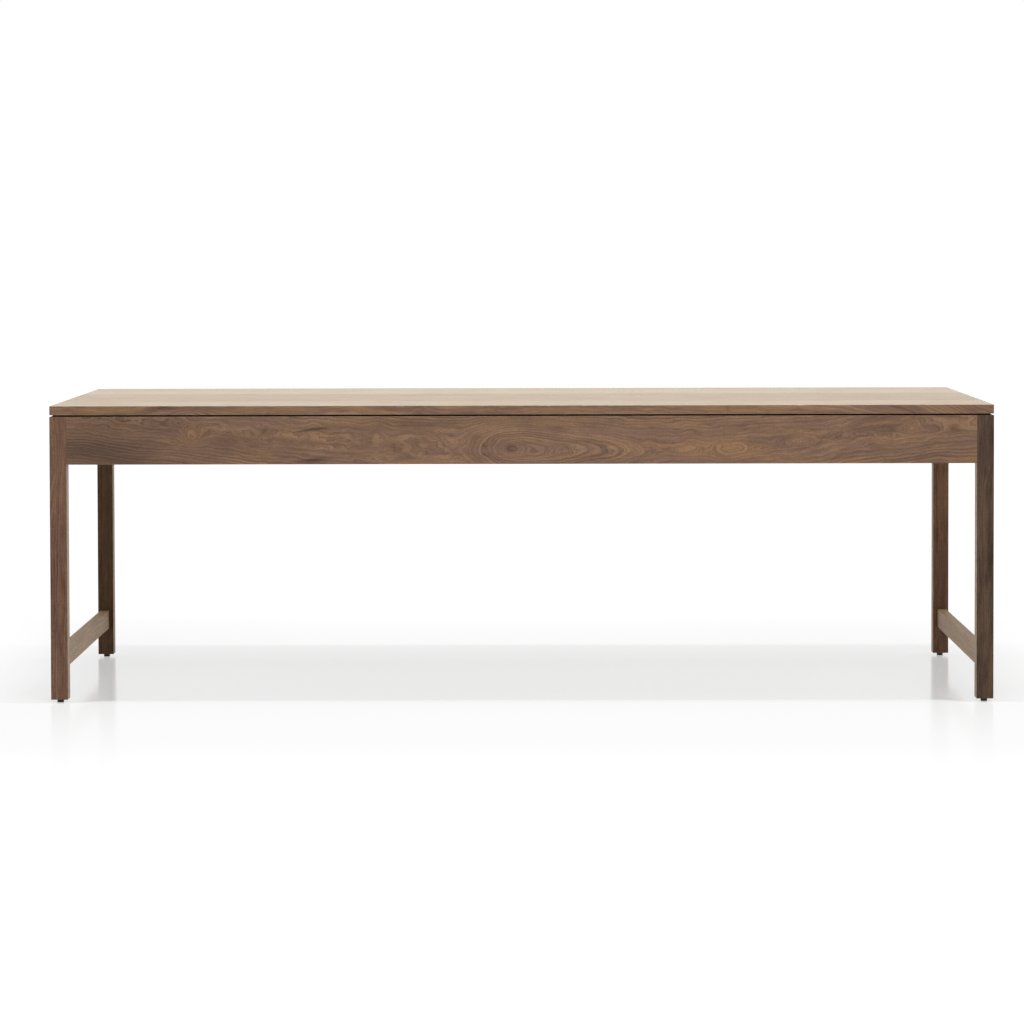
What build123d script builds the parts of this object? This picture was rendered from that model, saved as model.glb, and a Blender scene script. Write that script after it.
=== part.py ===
from build123d import *
import os

# Dining table in solid walnut, millimetres, +Z up.
# The origin is on the floor under the centre of the top.
# X runs along the table, and the front is towards -Y.

# Whole table
table_length = 2400.0
table_width = 1000.0
table_height = 757.0
glue_clearance = 0.1
overrun = 5.0

# Tabletop, glued up from lengthwise boards, front to rear
top_thickness = 23.0
top_arris = 1.5
top_corner_radius = 2.0
board_width_shares = (0.234, 0.213, 0.211, 0.171, 0.171)

# Shadow gap between the top and the frame
gap_height = 4.0
gap_inset = 8.0

# Legs
leg_side = 43.0
leg_arris = 1.0

# Aprons, flush with the outer faces of the legs
apron_height = 122.0
apron_thickness = 22.0
apron_arris = 1.0

# Tenons of the aprons and the stretchers
tenon_thickness = 10.0
tenon_shoulder = 6.0
tenon_end_gap = 1.0
apron_haunch = 20.0
apron_foot_shoulder = 8.0

# End stretchers
stretcher_height = 50.0
stretcher_thickness = 25.0
stretcher_inset = 6.0
stretcher_above_leg_end = 74.0
stretcher_arris = 1.0
stretcher_tenon_shoulder = 10.0

# Cross rails under the top
rail_height = 64.0
rail_thickness = 22.0
rail_arris = 1.0
rail_place_shares = (-0.5, 0.0, 0.5)
rail_names = ("left", "middle", "right")
rail_tenon_length = 9.0
rail_tenon_thickness = 8.0
rail_tenon_height = 34.0
rail_tenon_rise = 3.0

# Corner blocks glued and screwed inside the frame
block_reach = 78.0
block_height = 80.0
block_rise = 8.0
block_arris = 1.5
block_screw_place_share = 0.62
block_screw_level_shares = (0.18, 0.68)
block_screw_step_share = 0.14
block_screw_wood = 20.0
block_screw_bite = 13.0

# Wooden buttons that hold the top down, with tongues in a groove of the aprons
groove_below_apron_top = 10.0
groove_height = 7.0
groove_depth = 10.0
button_length = 36.0
button_width = 25.0
button_shoulder_gap = 1.5
button_arris = 1.0
tongue_play = 0.5
tongue_end_gap = 1.0
long_button_shares = (-0.75, -0.25, 0.25, 0.75)
end_button_shares = (-0.4, 0.4)

# Wood screws
screw_diameter = 4.0
screw_play = 0.05
screw_head_diameter = 8.0
screw_head_height = 3.0
screw_point = 4.0
screw_recess_width = 1.0
screw_recess_length = 4.4
screw_recess_depth = 1.6
screw_bite_in_top = 15.0
head_pocket_diameter = 10.0
rail_screw_wood = 20.0
rail_screw_slot = 12.0
rail_screw_shares = (-0.7, 0.0, 0.7)

# Levelling feet
foot_height = 8.0
pad_diameter = 17.0
pad_height = 5.5
pad_edge = 1.0
pad_floor = 2.0
swivel_disc_diameter = 9.0
swivel_disc_height = 1.5
swivel_neck_diameter = 6.0
swivel_play = 0.05
stud_diameter = 8.0
stud_thread_length = 27.0
stud_point = 1.0
hex_across_flats = 13.0
insert_diameter = 12.0
insert_length = 20.0
insert_flange_diameter = 15.0
insert_flange_height = 1.0
stud_room = 3.0

# Derived levels
leg_low = foot_height
top_high = table_height
top_low = top_high - top_thickness
leg_high = top_low - gap_height
apron_low = leg_high - apron_height
stretcher_low = leg_low + stretcher_above_leg_end
rail_low = top_low - rail_height
groove_high = leg_high - groove_below_apron_top
groove_low = groove_high - groove_height
button_low = groove_low + tongue_play
block_low = apron_low + block_rise
tongue_thickness = groove_high - button_low

# Derived plan sizes
half_length = table_length / 2
half_width = table_width / 2
strip_width = apron_thickness - gap_inset
tenon_length = leg_side - tenon_shoulder - tenon_thickness - tenon_end_gap
apron_tenon_height = apron_height - apron_haunch - apron_foot_shoulder
apron_tenon_middle = apron_low + apron_foot_shoulder + apron_tenon_height / 2
stretcher_tenon_height = stretcher_height - 2 * stretcher_tenon_shoulder
stretcher_middle = stretcher_low + stretcher_height / 2
rail_tenon_middle = rail_low + rail_tenon_rise + rail_tenon_height / 2
inner_length = table_length - 2 * apron_thickness
inner_width = table_width - 2 * apron_thickness
hex_low = pad_height
thread_low = foot_height

corners = {
    "front_left": (-1, -1),
    "front_right": (1, -1),
    "rear_left": (-1, 1),
    "rear_right": (1, 1),
}


def block(low, high):
    """A box between two opposite corners, given in any order."""
    size = [abs(b - a) for a, b in zip(low, high)]
    middle = [(a + b) / 2 for a, b in zip(low, high)]
    return Pos(*middle) * Box(*size)


def long_edges(solid, axis):
    """The straight edges of a solid that run along an axis."""
    return solid.edges().filter_by(axis)


def tongue_along_x(x_low, x_high, y, z, height, thickness):
    """A bar along X with round top and bottom, as a router leaves a mortise."""
    plane = Plane(origin=(x_low, y, z), x_dir=(0, 0, 1), z_dir=(1, 0, 0))
    return extrude(plane * SlotOverall(height, thickness), amount=x_high - x_low)


def tongue_along_y(y_low, y_high, x, z, height, thickness):
    """A bar along Y with round top and bottom, as a router leaves a mortise."""
    plane = Plane(origin=(x, y_low, z), x_dir=(0, 0, 1), z_dir=(0, 1, 0))
    return extrude(plane * SlotOverall(height, thickness), amount=y_high - y_low)


def spread(a, b, margin):
    """Two ends in rising order, moved apart by a margin."""
    return min(a, b) - margin, max(a, b) + margin


def long_apron_tenon(sx, sy, play):
    """The tenon of a long apron in a leg; play makes it the mortise."""
    inner = sx * (half_length - leg_side)
    ends = spread(inner, inner + sx * tenon_length, play)
    y = sy * (half_width - tenon_shoulder - tenon_thickness / 2)
    return tongue_along_x(*ends, y, apron_tenon_middle, apron_tenon_height + 2 * play, tenon_thickness + 2 * play)


def end_apron_tenon(sx, sy, play):
    """The tenon of an end apron in a leg; play makes it the mortise."""
    inner = sy * (half_width - leg_side)
    ends = spread(inner, inner + sy * tenon_length, play)
    x = sx * (half_length - tenon_shoulder - tenon_thickness / 2)
    return tongue_along_y(*ends, x, apron_tenon_middle, apron_tenon_height + 2 * play, tenon_thickness + 2 * play)


def stretcher_tenon(sx, sy, play):
    """The tenon of an end stretcher in a leg; play makes it the mortise."""
    inner = sy * (half_width - leg_side)
    ends = spread(inner, inner + sy * tenon_length, play)
    x = sx * (half_length - stretcher_inset - stretcher_thickness / 2)
    return tongue_along_y(*ends, x, stretcher_middle, stretcher_tenon_height + 2 * play, tenon_thickness + 2 * play)


def rail_tenon(x, sy, play):
    """The stub tenon of a cross rail in a long apron; play makes it the mortise."""
    inner = sy * inner_width / 2
    ends = spread(inner, inner + sy * rail_tenon_length, play)
    return tongue_along_y(*ends, x, rail_tenon_middle, rail_tenon_height + 2 * play, rail_tenon_thickness + 2 * play)


def rail_places():
    """The middle of each cross rail along the table."""
    return [share * half_length for share in rail_place_shares]


def screw(length):
    """A pan-head wood screw with its seat at the origin, pointing up."""
    radius = screw_diameter / 2
    shank = Pos(0, 0, (length - screw_point) / 2) * Cylinder(radius, length - screw_point)
    point = Pos(0, 0, length - screw_point / 2) * Cone(radius, radius / 5, screw_point)
    head = Pos(0, 0, -screw_head_height / 2) * Cylinder(screw_head_diameter / 2, screw_head_height)
    head = fillet(head.edges().group_by(Axis.Z)[0], screw_head_height / 3)
    recess_middle = screw_recess_depth / 2 - screw_head_height
    cross = Box(screw_recess_length, screw_recess_width, screw_recess_depth)
    cross += Box(screw_recess_width, screw_recess_length, screw_recess_depth)
    return head + shank + point - Pos(0, 0, recess_middle) * cross


def screw_hole(length):
    """The hole that a screw fills, with its seat at the origin, pointing up."""
    radius = screw_diameter / 2 + screw_play
    return Pos(0, 0, (length + screw_play) / 2) * Cylinder(radius, length + screw_play)


def button_places():
    """Where each button's shoulder meets its apron, with its direction inwards."""
    places = []
    for share in long_button_shares:
        for sy in (-1, 1):
            places.append((share * half_length, sy * inner_width / 2, 0, -sy))
    for share in end_button_shares:
        for sx in (-1, 1):
            places.append((sx * inner_length / 2, share * half_width, -sx, 0))
    return places


def button_screw_places():
    """The seats of the button screws, under the middle of each button."""
    reach = button_shoulder_gap + button_length / 2
    return [(x + dx * reach, y + dy * reach, button_low) for x, y, dx, dy in button_places()]


def rail_screw_places():
    """The seats of the screws that hold the cross rails to the top."""
    seat = top_low - rail_screw_wood
    return [(x, share * inner_width / 2, seat) for x in rail_places() for share in rail_screw_shares]


def button_screw_length():
    """From the underside of a button to the end of its bite in the top."""
    return top_low - button_low + screw_bite_in_top


def rail_screw_length():
    """From the bottom of the pocket in a rail to the end of its bite in the top."""
    return rail_screw_wood + screw_bite_in_top


def block_screw_frames():
    """A plane on each seat of a corner block's screws, with Z pointing into the apron."""
    frames = []
    for sx, sy in corners.values():
        along = apron_thickness + block_reach * block_screw_place_share
        seat = apron_thickness + block_screw_wood
        for share in block_screw_level_shares:
            z = block_low + block_height * share
            seat_long = (sx * (half_length - along), sy * (half_width - seat), z)
            frames.append(Plane(origin=seat_long, x_dir=(0, 0, 1), z_dir=(0, sy, 0)))
            z += block_height * block_screw_step_share
            seat_end = (sx * (half_length - seat), sy * (half_width - along), z)
            frames.append(Plane(origin=seat_end, x_dir=(0, 0, 1), z_dir=(sx, 0, 0)))
    return frames


def block_screw_length():
    """Through the block and into the apron."""
    return block_screw_wood + block_screw_bite


def make_boards():
    """The top is one panel with eased edges, cut into its boards."""
    panel = block((-half_length, -half_width, top_low), (half_length, half_width, top_high))
    panel = fillet(long_edges(panel, Axis.Z), top_corner_radius)
    rims = panel.faces().sort_by(Axis.Z)
    panel = fillet(rims[0].edges() + rims[-1].edges(), top_arris)
    for x, y, z in button_screw_places():
        panel -= Pos(x, y, z) * screw_hole(button_screw_length())
    for x, y, z in rail_screw_places():
        panel -= Pos(x, y, z) * screw_hole(rail_screw_length())
    boards = {}
    front = -half_width
    for number, share in enumerate(board_width_shares, start=1):
        rear = front + share * table_width / sum(board_width_shares)
        slab = block((-half_length, front, top_low), (half_length, rear, top_high))
        boards[f"tabletop_board_{number}"] = panel & slab
        front = rear
    return boards


def make_gap_strips():
    """Recessed strips between the frame and the top; the end strips fit between the long ones."""
    strips = {}
    outer_x = half_length - gap_inset
    outer_y = half_width - gap_inset
    for name, sy in (("front", -1), ("rear", 1)):
        low = (-outer_x, sy * outer_y, leg_high)
        strips[f"gap_strip_{name}"] = block(low, (outer_x, sy * (outer_y - strip_width), top_low))
    for name, sx in (("left", -1), ("right", 1)):
        low = (sx * outer_x, strip_width - outer_y, leg_high)
        high = (sx * (outer_x - strip_width), outer_y - strip_width, top_low)
        strips[f"gap_strip_{name}"] = block(low, high)
    return strips


def make_leg(sx, sy):
    """A square leg with its mortises and the hole for its threaded insert."""
    outer = (sx * half_length, sy * half_width, leg_low)
    inner = (sx * (half_length - leg_side), sy * (half_width - leg_side), leg_high)
    leg = block(outer, inner)
    leg = fillet(long_edges(leg, Axis.Z), leg_arris)
    rims = leg.faces().sort_by(Axis.Z)
    leg = chamfer(rims[0].edges() + rims[-1].edges(), leg_arris / 2)
    leg -= long_apron_tenon(sx, sy, glue_clearance)
    leg -= end_apron_tenon(sx, sy, glue_clearance)
    leg -= stretcher_tenon(sx, sy, glue_clearance)
    x, y = foot_centre(sx, sy)
    body_radius = insert_diameter / 2 + glue_clearance
    flange_radius = insert_flange_diameter / 2 + glue_clearance
    stud_depth = stud_thread_length + stud_room
    leg -= Pos(x, y, leg_low + insert_length / 2) * Cylinder(body_radius, insert_length)
    leg -= Pos(x, y, leg_low + insert_flange_height / 2) * Cylinder(flange_radius, insert_flange_height)
    leg -= Pos(x, y, leg_low + stud_depth / 2) * Cylinder(stud_diameter / 2 + stud_room / 2, stud_depth)
    return leg


def foot_centre(sx, sy):
    """The middle of a leg in plan."""
    return sx * (half_length - leg_side / 2), sy * (half_width - leg_side / 2)


def apron_groove(low, high):
    """The groove for the buttons' tongues, cut along the inner face of an apron."""
    return block((*low, groove_low), (*high, groove_high))


def make_long_apron(sy):
    """A long apron with its tenons, the button groove and the mortises of the cross rails."""
    end = half_length - leg_side
    inner = sy * (half_width - apron_thickness)
    apron = block((-end, sy * half_width, apron_low), (end, inner, leg_high))
    apron = fillet(long_edges(apron, Axis.X), apron_arris)
    for sx in (-1, 1):
        apron += long_apron_tenon(sx, sy, 0)
    apron -= apron_groove((-end - overrun, inner + sy * groove_depth), (end + overrun, inner))
    for x in rail_places():
        apron -= rail_tenon(x, sy, glue_clearance)
    return apron


def make_end_apron(sx):
    """An end apron with its tenons and the button groove."""
    end = half_width - leg_side
    inner = sx * (half_length - apron_thickness)
    apron = block((sx * half_length, -end, apron_low), (inner, end, leg_high))
    apron = fillet(long_edges(apron, Axis.Y), apron_arris)
    for sy in (-1, 1):
        apron += end_apron_tenon(sx, sy, 0)
    apron -= apron_groove((inner + sx * groove_depth, -end - overrun), (inner, end + overrun))
    return apron


def drill_for_blocks(aprons):
    """Pilot holes for the corner blocks' screws, cut in whichever apron they enter."""
    cutter = screw_hole(block_screw_length())
    for frame in block_screw_frames():
        hole = frame * cutter
        along_y = abs(frame.z_dir.Y) > abs(frame.z_dir.X)
        if along_y:
            name = "apron_front" if frame.z_dir.Y < 0 else "apron_rear"
        else:
            name = "apron_left" if frame.z_dir.X < 0 else "apron_right"
        aprons[name] -= hole
    return aprons


def make_stretcher(sx):
    """A low end stretcher with its tenons."""
    end = half_width - leg_side
    outer = sx * (half_length - stretcher_inset)
    low = (outer, -end, stretcher_low)
    high = (outer - sx * stretcher_thickness, end, stretcher_low + stretcher_height)
    stretcher = fillet(long_edges(block(low, high), Axis.Y), stretcher_arris)
    for sy in (-1, 1):
        stretcher += stretcher_tenon(sx, sy, 0)
    return stretcher


def make_rail(x):
    """A cross rail that carries the middle of the top, with pockets and slots for its screws."""
    low = (x - rail_thickness / 2, -inner_width / 2, rail_low)
    rail = block(low, (x + rail_thickness / 2, inner_width / 2, top_low))
    rail = fillet(long_edges(rail, Axis.Y), rail_arris)
    for sy in (-1, 1):
        rail += rail_tenon(x, sy, 0)
    pocket_depth = rail_height - rail_screw_wood
    pocket = Cylinder(head_pocket_diameter / 2, pocket_depth)
    slot = SlotOverall(rail_screw_slot, screw_diameter + 2 * screw_play, rotation=90)
    slot = extrude(slot, amount=rail_screw_wood)
    for place, y, seat in rail_screw_places():
        if place == x:
            rail -= Pos(x, y, rail_low + pocket_depth / 2) * pocket
            rail -= Pos(x, y, seat) * slot
    return rail


def make_corner_block(sx, sy):
    """A block that fills the corner of the frame round the inner edge of the leg."""
    far = apron_thickness + block_reach
    plan = (
        (leg_side, apron_thickness),
        (far, apron_thickness),
        (apron_thickness, far),
        (apron_thickness, leg_side),
        (leg_side, leg_side),
    )
    points = [(sx * (half_length - u), sy * (half_width - v)) for u, v in plan]
    outline = make_face(Polyline(*points, close=True))
    solid = extrude(Pos(0, 0, block_low) * outline, amount=block_height, dir=(0, 0, 1))
    rims = solid.faces().sort_by(Axis.Z)
    solid = chamfer(rims[0].edges(), block_arris)
    pocket = Pos(0, 0, -block_reach / 2) * Cylinder(head_pocket_diameter / 2, block_reach)
    hole = screw_hole(block_screw_length())
    for frame in block_screw_frames():
        near_x = abs(frame.origin.X - sx * half_length) < half_length
        near_y = abs(frame.origin.Y - sy * half_width) < half_width
        if near_x and near_y:
            solid -= frame * pocket
            solid -= frame * hole
    return solid


def make_buttons():
    """Every button: a block under the top with a tongue that reaches into the apron's groove."""
    tongue_length = button_shoulder_gap + groove_depth - tongue_end_gap
    body = block((0, -button_width / 2, button_low), (button_length, button_width / 2, top_low))
    body = fillet(long_edges(body, Axis.Z), button_arris)
    low = (-tongue_length, -button_width / 2, button_low)
    body += block(low, (button_arris * 2, button_width / 2, groove_high))
    hole_height = top_low - button_low
    hole = Pos(button_length / 2, 0, button_low + hole_height / 2)
    body -= hole * Cylinder(screw_diameter / 2 + screw_play, hole_height)
    turned = []
    for x, y, dx, dy in button_places():
        shoulder = Location((x + dx * button_shoulder_gap, y + dy * button_shoulder_gap, 0))
        angle = Vector(1, 0, 0).get_signed_angle(Vector(dx, dy, 0), Vector(0, 0, 1))
        turned.append(shoulder * Rot(0, 0, angle) * body)
    return Compound(children=turned)


def make_vertical_screws(places, length):
    """Copies of one screw, each pointing up from its seat."""
    return Compound(children=[Pos(*place) * screw(length) for place in places])


def make_block_screws():
    """The screws of the corner blocks."""
    pattern = screw(block_screw_length())
    return Compound(children=[frame * pattern for frame in block_screw_frames()])


def make_insert(sx, sy):
    """A flanged threaded insert, flush with the end of the leg."""
    x, y = foot_centre(sx, sy)
    body = Pos(x, y, leg_low + insert_length / 2) * Cylinder(insert_diameter / 2, insert_length)
    flange_middle = leg_low + insert_flange_height / 2
    body += Pos(x, y, flange_middle) * Cylinder(insert_flange_diameter / 2, insert_flange_height)
    bore_radius = stud_diameter / 2 + swivel_play
    return body - Pos(x, y, leg_low + insert_length / 2) * Cylinder(bore_radius, insert_length)


def make_stud(sx, sy):
    """A foot's stud: swivel disc and neck in the pad, a hexagon to turn it by, and its thread."""
    x, y = foot_centre(sx, sy)
    disc_high = pad_floor + swivel_disc_height
    neck_height = hex_low - disc_high
    hex_height = thread_low - hex_low
    hex_radius = hex_across_flats / 3**0.5
    stud = Pos(0, 0, pad_floor + swivel_disc_height / 2) * Cylinder(swivel_disc_diameter / 2, swivel_disc_height)
    stud += Pos(0, 0, disc_high + neck_height / 2) * Cylinder(swivel_neck_diameter / 2, neck_height)
    stud += extrude(Pos(0, 0, hex_low) * RegularPolygon(hex_radius, side_count=6), amount=hex_height)
    shank = Pos(0, 0, thread_low + stud_thread_length / 2) * Cylinder(stud_diameter / 2, stud_thread_length)
    stud += chamfer(shank.edges().group_by(Axis.Z)[-1], stud_point)
    return Pos(x, y, 0) * stud


def make_pad(sx, sy):
    """A round foot pad that swivels on its stud."""
    x, y = foot_centre(sx, sy)
    pad = Pos(0, 0, pad_height / 2) * Cylinder(pad_diameter / 2, pad_height)
    pad = fillet(pad.edges().group_by(Axis.Z)[0], pad_edge / 2)
    pad = fillet(pad.edges().group_by(Axis.Z)[-1], pad_edge)
    disc_height = swivel_disc_height + swivel_play
    disc = Cylinder(swivel_disc_diameter / 2 + swivel_play, disc_height)
    pad -= Pos(0, 0, pad_floor + disc_height / 2) * disc
    neck_height = pad_height - pad_floor
    pad -= Pos(0, 0, pad_floor + neck_height / 2) * Cylinder(swivel_neck_diameter / 2 + swivel_play, neck_height)
    return Pos(x, y, 0) * pad


def make_table():
    """Every node of the table by name."""
    nodes = make_boards()
    nodes.update(make_gap_strips())
    for name, (sx, sy) in corners.items():
        nodes[f"leg_{name}"] = make_leg(sx, sy)
        nodes[f"corner_block_{name}"] = make_corner_block(sx, sy)
        nodes[f"foot_stud_{name}"] = make_stud(sx, sy)
        nodes[f"foot_pad_{name}"] = make_pad(sx, sy)
    aprons = {"apron_front": make_long_apron(-1), "apron_rear": make_long_apron(1)}
    aprons.update({"apron_left": make_end_apron(-1), "apron_right": make_end_apron(1)})
    nodes.update(drill_for_blocks(aprons))
    nodes["stretcher_left"] = make_stretcher(-1)
    nodes["stretcher_right"] = make_stretcher(1)
    for name, x in zip(rail_names, rail_places()):
        nodes[f"cross_rail_{name}"] = make_rail(x)
    nodes["top_buttons"] = make_buttons()
    nodes["button_screws"] = make_vertical_screws(button_screw_places(), button_screw_length())
    nodes["rail_screws"] = make_vertical_screws(rail_screw_places(), rail_screw_length())
    nodes["corner_block_screws"] = make_block_screws()
    nodes["leg_inserts"] = Compound(children=[make_insert(sx, sy) for sx, sy in corners.values()])
    return nodes


os.makedirs("parts", exist_ok=True)
for node_name, shape in make_table().items():
    export_step(shape, f"parts/{node_name}.step")
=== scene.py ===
"""A walnut dining table: finishes, feet, floor, light and camera round the fixed frame."""

import logging
import math
from dataclasses import dataclass
from enum import Enum

import bpy
import numpy as np
from mathutils import Matrix, Vector


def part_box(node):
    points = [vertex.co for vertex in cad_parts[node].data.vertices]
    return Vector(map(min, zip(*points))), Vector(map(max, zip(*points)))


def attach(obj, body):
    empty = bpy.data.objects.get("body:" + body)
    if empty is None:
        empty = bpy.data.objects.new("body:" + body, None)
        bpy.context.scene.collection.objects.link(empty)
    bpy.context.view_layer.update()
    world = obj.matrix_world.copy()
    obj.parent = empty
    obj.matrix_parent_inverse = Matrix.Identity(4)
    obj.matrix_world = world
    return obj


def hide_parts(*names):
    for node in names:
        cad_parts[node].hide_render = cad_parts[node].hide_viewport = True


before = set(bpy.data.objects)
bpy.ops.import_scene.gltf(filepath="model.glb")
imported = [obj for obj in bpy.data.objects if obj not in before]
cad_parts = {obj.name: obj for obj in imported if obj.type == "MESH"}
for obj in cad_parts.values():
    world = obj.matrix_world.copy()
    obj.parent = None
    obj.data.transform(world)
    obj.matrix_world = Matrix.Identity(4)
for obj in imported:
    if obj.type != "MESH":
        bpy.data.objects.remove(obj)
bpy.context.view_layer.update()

log = logging.getLogger("dining_table")

Colour = tuple[float, float, float]
Screen = tuple[int, int, int]
Pair = tuple[float, float]
Place = tuple[float, float, float]
Material = bpy.types.Material
Tree = bpy.types.NodeTree
Node = bpy.types.Node
Outputs = bpy.types.NodeOutputs
Socket = bpy.types.NodeSocket
Value = Socket | float | tuple[float, ...]


def srgb(red: int, green: int, blue: int) -> Colour:
    """A screen colour as the linear colour that shaders take.

    Each channel c from 0 to 255 becomes c/255/12.92 below 0.04045, and ((c/255 + 0.055)/1.055)^2.4 above.

    Args:
        red, green, blue: The screen colour, from 0 to 255.

    Returns:
        The linear red, green and blue.
    """
    shares = np.array((red, green, blue)) / 255
    linear = np.where(shares < 0.04045, shares / 12.92, ((shares + 0.055) / 1.055) ** 2.4)
    return tuple(float(value) for value in linear)


class Graph:
    """A shader node tree with short ways to add to it."""

    def __init__(self, tree: Tree) -> None:
        """Keeps the tree."""
        self.tree = tree

    def add(self, kind: str, **settings: object) -> Node:
        """Adds a node.

        Args:
            kind: The node's type name without its ShaderNode prefix.
            settings: Properties to set on the node.

        Returns:
            The new node.
        """
        node = self.tree.nodes.new(f"ShaderNode{kind}")
        for name, value in settings.items():
            setattr(node, name, value)
        return node

    def feed(self, socket: Socket, value: Value) -> None:
        """Links a socket to another node's output, or sets it to a plain value.

        Args:
            socket: The input to fill.
            value: An output socket, a number or a tuple.
        """
        if isinstance(value, Socket):
            self.tree.links.new(value, socket)
        elif socket.type == "RGBA" and len(value) == 3:
            socket.default_value = (*value, 1)
        else:
            socket.default_value = value

    def fill(self, node: Node, **values: Value) -> Node:
        """Feeds a node's inputs by name, with underscores for spaces.

        Args:
            node: The node.
            values: What to put in its inputs.

        Returns:
            The same node.
        """
        for name, value in values.items():
            self.feed(node.inputs[name.replace("_", " ")], value)
        return node

    def outputs_of(self, kind: str, values: tuple[Value, ...], **settings: object) -> Outputs:
        """Adds a node and feeds its inputs in order.

        Args:
            kind: The node's type name without its ShaderNode prefix.
            values: Its inputs, in order.
            settings: Properties to set on the node.

        Returns:
            The node's outputs.
        """
        node = self.add(kind, **settings)
        for socket, value in zip(node.inputs, values):
            self.feed(socket, value)
        return node.outputs

    def math(self, operation: str, *values: Value, clamp: bool = False) -> Socket:
        """A Math node's result on the values; clamp holds it between 0 and 1."""
        return self.outputs_of("Math", values, operation=operation, use_clamp=clamp)[0]

    def vector(self, operation: str, *values: Value) -> Socket:
        """A Vector Math node's vector result on the values."""
        return self.outputs_of("VectorMath", values, operation=operation)["Vector"]

    def times(self, first: Value, second: Value) -> Socket:
        """The first value times the second."""
        return self.math("MULTIPLY", first, second)

    def times_plus(self, value: Value, factor: Value, rest: Value) -> Socket:
        """The value times the factor, plus the rest."""
        return self.math("MULTIPLY_ADD", value, factor, rest)

    def less(self, value: Value, part: Value) -> Socket:
        """The value less the part."""
        return self.math("SUBTRACT", value, part)

    def centred(self, value: Value) -> Socket:
        """A noise's value less its middle, which is 0.5."""
        return self.less(value, 0.5)

    def fade(self, distance: Value, sharpness: float = 1.0) -> Socket:
        """The exponential of minus the sharpness times the distance."""
        return self.math("EXPONENT", self.times(distance, -sharpness))

    def ramp(self, value: Value, low: float, high: float, start: float = 0, end: float = 1) -> Socket:
        """A value eased from start to end as it goes from low to high."""
        return self.outputs_of("MapRange", (value, low, high, start, end), interpolation_type="SMOOTHSTEP")[0]

    def apart(self, vector: Value) -> Outputs:
        """A vector's X, Y and Z."""
        return self.outputs_of("SeparateXYZ", (vector,))

    def joined(self, *parts: Value) -> Socket:
        """A vector from its X, Y and Z, where those left out are 0."""
        return self.outputs_of("CombineXYZ", parts)[0]

    def blend(self, share: Value, first: Value, second: Value) -> Socket:
        """Mixes two colours.

        Args:
            share: How much of the second, from 0 to 1.
            first, second: The colours.

        Returns:
            The mixed colour.
        """
        node = self.add("Mix", data_type="RGBA")
        enabled = [socket for socket in node.inputs if socket.enabled]
        for socket, value in zip(enabled, (share, first, second)):
            self.feed(socket, value)
        return next(socket for socket in node.outputs if socket.enabled)

    def place(self) -> Socket:
        """The object coordinates."""
        return self.add("TexCoord").outputs["Object"]

    def noise(self, vector: Value, scale: float, detail: float = 2.0, roughness: float = 0.5) -> Node:
        """Adds a Noise Texture node, whose outputs are Fac and Color.

        Args:
            vector: Where to read the noise.
            scale: Waves in a unit of the vector.
            detail: Octaves.
            roughness: How much the finer octaves weigh.

        Returns:
            The node.
        """
        node = self.add("TexNoise")
        return self.fill(node, Vector=vector, Scale=scale, Detail=detail, Roughness=roughness)

    def bump(self, height: Value, strength: float, depth: float) -> Socket:
        """Tilts the normal by a height.

        Args:
            height: The height, in shares of the depth.
            strength: How strongly the tilt shows.
            depth: The depth in metres.

        Returns:
            The tilted normal.
        """
        node = self.fill(self.add("Bump"), Height=height, Strength=strength, Distance=depth)
        return node.outputs["Normal"]

    def call(self, group: Tree, **values: Value) -> Outputs:
        """Places a node group.

        Args:
            group: The group's tree.
            values: What to put in its inputs, by name with underscores for spaces.

        Returns:
            The group's outputs.
        """
        return self.fill(self.add("Group", node_tree=group), **values).outputs


class Group:
    """A shader node group with named inputs and outputs."""

    def __init__(self, name: str, inputs: dict[str, str], outputs: dict[str, str]) -> None:
        """Makes the group's sockets.

        Args:
            name: The group's name.
            inputs: Each input's name and kind: Float, Vector or Color.
            outputs: Each output's name and kind.
        """
        self.tree = bpy.data.node_groups.new(name, "ShaderNodeTree")
        for sockets, way in ((inputs, "INPUT"), (outputs, "OUTPUT")):
            for socket, kind in sockets.items():
                self.tree.interface.new_socket(socket, in_out=way, socket_type=f"NodeSocket{kind}")
        self.graph = Graph(self.tree)
        self.given = self.tree.nodes.new("NodeGroupInput").outputs
        self.made = self.tree.nodes.new("NodeGroupOutput").inputs

    def give(self, **values: Value) -> Tree:
        """Fills the group's outputs.

        Args:
            values: What to put in them, by name with underscores for spaces.

        Returns:
            The group's tree.
        """
        for name, value in values.items():
            self.graph.feed(self.made[name.replace("_", " ")], value)
        return self.tree


@dataclass(frozen=True)
class Waves:
    """A noise drawn out along the grain: waves in a metre along and across, octaves and their weight."""

    along: float
    across: float
    detail: float = 2.0
    roughness: float = 0.5

    def read(self, g: Graph, vector: Value) -> Socket:
        """The noise, which lies about 0.5.

        Args:
            g: The graph to add to.
            vector: The board's coordinates along, across and through.

        Returns:
            The noise's value.
        """
        stretched = g.vector("MULTIPLY", vector, (self.along, self.across, self.across))
        return g.noise(stretched, 1.0, self.detail, self.roughness).outputs["Fac"]


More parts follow.
